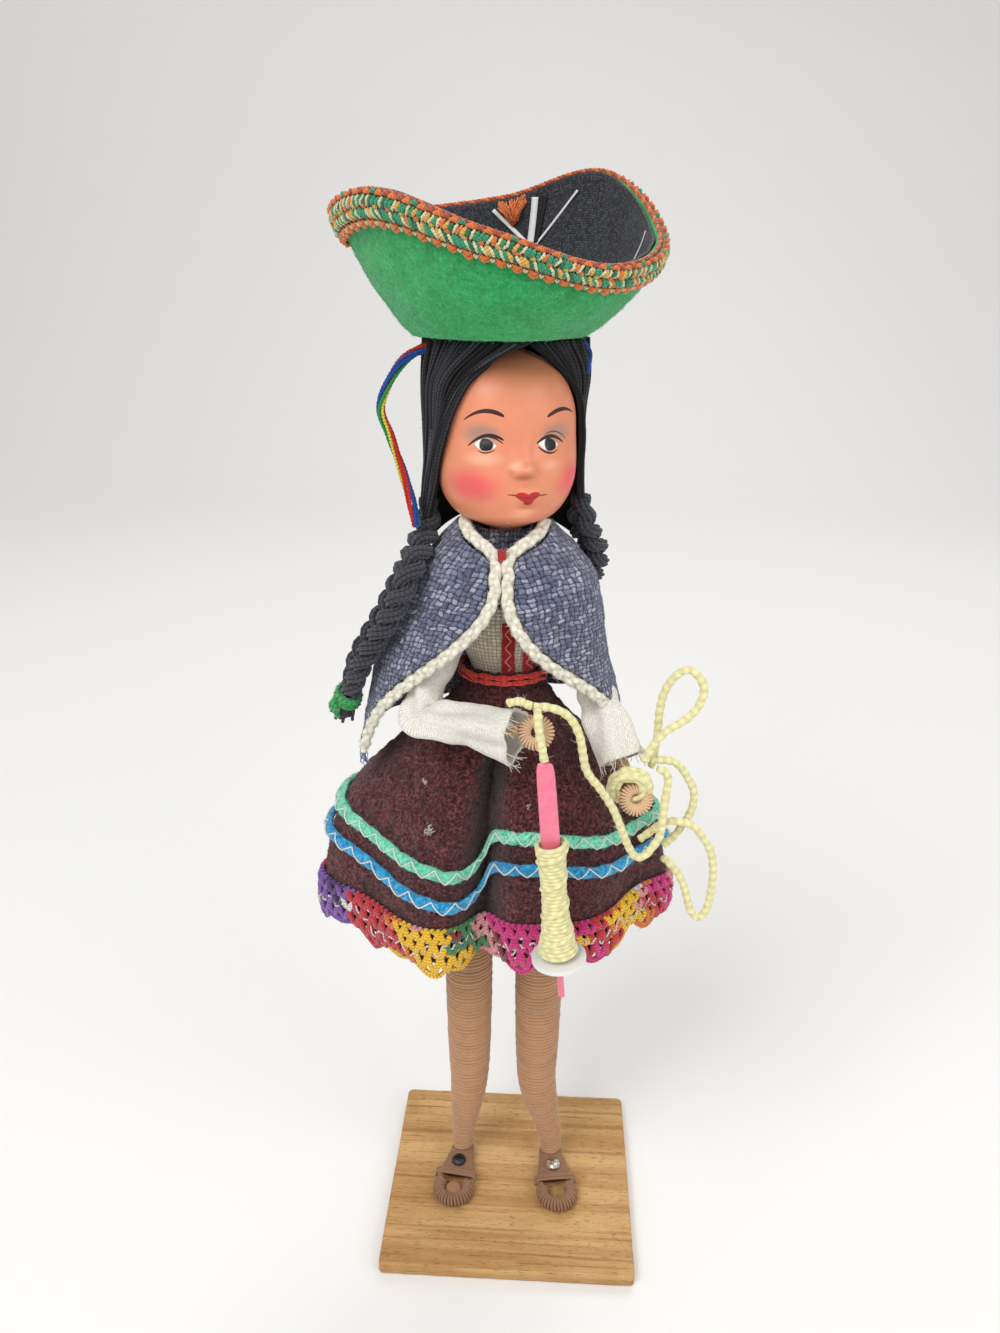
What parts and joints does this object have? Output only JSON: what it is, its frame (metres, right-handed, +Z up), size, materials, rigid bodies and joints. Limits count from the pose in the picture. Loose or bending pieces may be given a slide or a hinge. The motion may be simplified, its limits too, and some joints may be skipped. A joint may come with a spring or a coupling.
{
  "type": "folk doll spinning yarn",
  "caption": "Folk doll on a wooden board, with felt hat, wool cape and skirt, plaits, and a drop spindle of yarn hanging from one hand.",
  "frame": {"origin": "middle of the wooden board's underside", "axes": "+Z up along the doll, -Y the way the doll faces, +X towards the doll's own left hand"},
  "size_m": [0.1119, 0.0788, 0.3082],
  "materials": {
    "board": "light oiled wood with dark grain",
    "foot_thread": "brown thread bound over wire",
    "screw_steel": "slotted screw, worn bright",
    "armature": "dull wire",
    "leg_yarn": "light brown yarn wound level",
    "padding": "unbleached stuffing cloth",
    "skin_paint": "painted papier mache, satin; plastic stands in",
    "arm_thread": "peach thread bound over wire",
    "blouse_cotton": "cream open-weave cotton",
    "red_wool": "red wool and ribbon",
    "skirt_wool": "dark maroon woven wool",
    "turquoise_cord": "turquoise knitted cord",
    "blue_cord": "blue knitted cord",
    "hem_crochet": "crochet in blocks of many colours",
    "sleeve_cotton": "white cotton",
    "cape_wool": "grey-blue tweed wool",
    "cream_wool": "cream chain stitch",
    "black_yarn": "black yarn, combed and plaited",
    "green_wool": "green wool knot",
    "hat_felt": "green felt, fuzzy",
    "hat_lining": "charcoal cloth",
    "hat_braid": "orange, yellow and green picot braid",
    "ribbon_thread": "threads in several bright colours",
    "spun_yarn": "pale yellow two-ply yarn",
    "spindle_plastic": "pink moulded plastic",
    "whorl_plastic": "white plastic"
  },
  "bodies": {
    "doll_body": {"base_board": "board", "toe_disc_right": "foot_thread", "torso_padding": "padding", "neck_post": "skin_paint", "arm_wire": "arm_thread", "blouse": "blouse_cotton", "blouse_band_right": "red_wool", "blouse_band_left": "red_wool", "skirt": "skirt_wool", "crochet_hem": "hem_crochet", "turquoise_cord": "turquoise_cord", "blue_cord": "blue_cord", "waist_sash": "red_wool", "cape": "cape_wool", "foot_loop_right": "foot_thread", "foot_screw_right": "screw_steel", "leg_wrap_right": "leg_yarn", "leg_wire_right": "armature", "sleeve_right": "sleeve_cotton", "cape_edging_right": "cream_wool", "plait_right": "black_yarn", "plait_tie_right": "green_wool", "plait_tuft_right": "black_yarn", "foot_loop_left": "foot_thread", "foot_screw_left": "screw_steel", "leg_wrap_left": "leg_yarn", "leg_wire_left": "armature", "sleeve_left": "sleeve_cotton", "cape_edging_left": "cream_wool", "plait_left": "black_yarn", "plait_tie_left": "green_wool", "plait_tuft_left": "black_yarn"},
    "head": {"head": "skin_paint", "hair_cap": "black_yarn", "hat_felt": "hat_felt", "hat_lining": "hat_lining", "hat_trim": "hat_braid", "hat_ribbon": "ribbon_thread"},
    "right_forearm": {"forearm_right": "arm_thread", "hand_loop_right": "arm_thread", "yarn_end": "spun_yarn", "hand_strand_right": "spun_yarn"},
    "left_forearm": {"forearm_left": "arm_thread", "hand_loop_left": "arm_thread", "wrist_core": "spun_yarn", "wrist_coil": "spun_yarn", "hand_strand_left": "spun_yarn", "yarn_loop_upper": "spun_yarn", "yarn_loop_side": "spun_yarn", "yarn_loop_lower": "spun_yarn"},
    "hanging_yarn": {"spindle_lead": "spun_yarn"},
    "spindle": {"spindle_stick": "spindle_plastic", "whorl_disc": "whorl_plastic", "cop_core": "spun_yarn", "cop_winding": "spun_yarn"}
  },
  "joints": [
    {"name": "head_turn", "type": "hinge", "parent": "doll_body", "child": "head", "pos_m": [-0.0038, 0.005, 0.2258], "axis": [0, 0, 1], "range_deg": [-12, 12], "deforming": ["plait_right", "plait_left"]},
    {"name": "right_elbow", "type": "hinge", "parent": "doll_body", "child": "right_forearm", "pos_m": [-0.024, -0.0145, 0.1783], "axis": [0, 0, 1], "range_deg": [-25, 0], "deforming": ["sleeve_right", "hand_strand_right"]},
    {"name": "left_elbow", "type": "hinge", "parent": "doll_body", "child": "left_forearm", "pos_m": [0.0205, -0.0025, 0.1828], "axis": [0, 0, 1], "range_deg": [-20, 0], "deforming": ["sleeve_left", "hand_strand_left"]},
    {"name": "spindle_swing", "type": "hinge", "parent": "right_forearm", "child": "hanging_yarn", "pos_m": [0.006, -0.0319, 0.1866], "axis": [1, 0, 0], "range_deg": [-30, 0]},
    {"name": "spindle_spin", "type": "hinge", "parent": "hanging_yarn", "child": "spindle", "pos_m": [0.0079, -0.032, 0.175], "axis": [0.0872, 0, -0.9962], "continuous": true}
  ]
}
